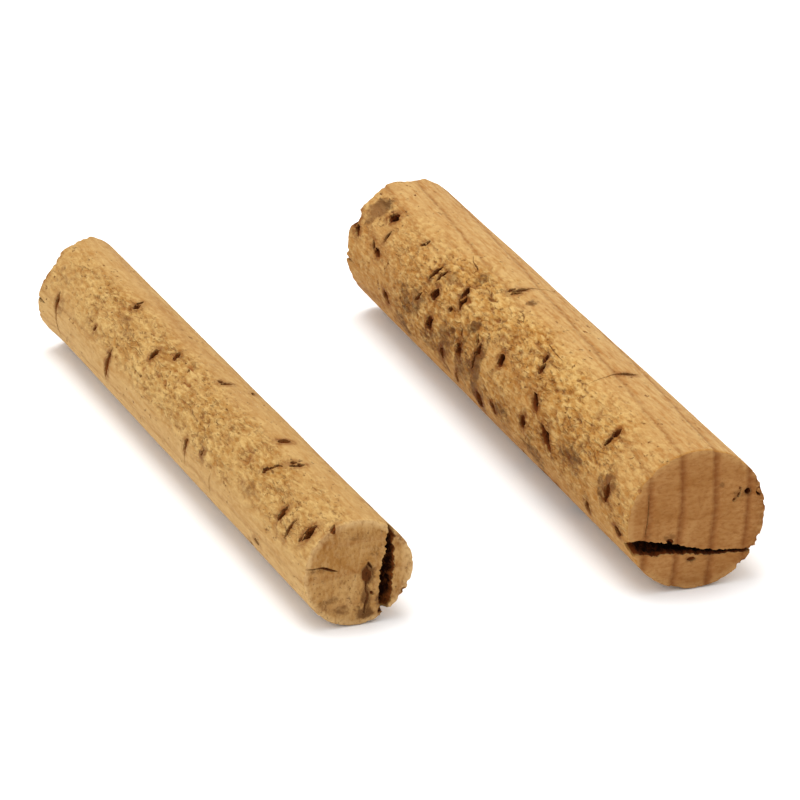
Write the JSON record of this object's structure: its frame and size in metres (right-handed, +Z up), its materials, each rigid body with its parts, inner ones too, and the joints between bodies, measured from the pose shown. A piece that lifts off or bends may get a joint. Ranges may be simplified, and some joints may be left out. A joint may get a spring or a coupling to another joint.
{
  "type": "claves",
  "caption": "Pair of plain round rods cut from natural cork bark, a thick and a thin one, lying side by side in the form of claves, with pits, splits and growth rings.",
  "frame": {"origin": "bottom centre of the box round both rods, on the surface that they lie on", "axes": "+Y along the thick rod from its square-cut near end to its far end, +Z up, +X from the thin rod towards the thick one"},
  "size_m": [0.0896, 0.1608, 0.0265],
  "materials": {
    "thick_cork": "matte",
    "thin_cork": "matte"
  },
  "bodies": {
    "thick_rod": {"thick_rod": "thick_cork"},
    "thin_rod": {"thin_rod": "thin_cork"}
  },
  "joints": [
    {"name": "thin_rod_lift", "type": "slide", "parent": "thick_rod", "child": "thin_rod", "axis": [0, 0, 1], "range_m": [0, 0.15]}
  ]
}
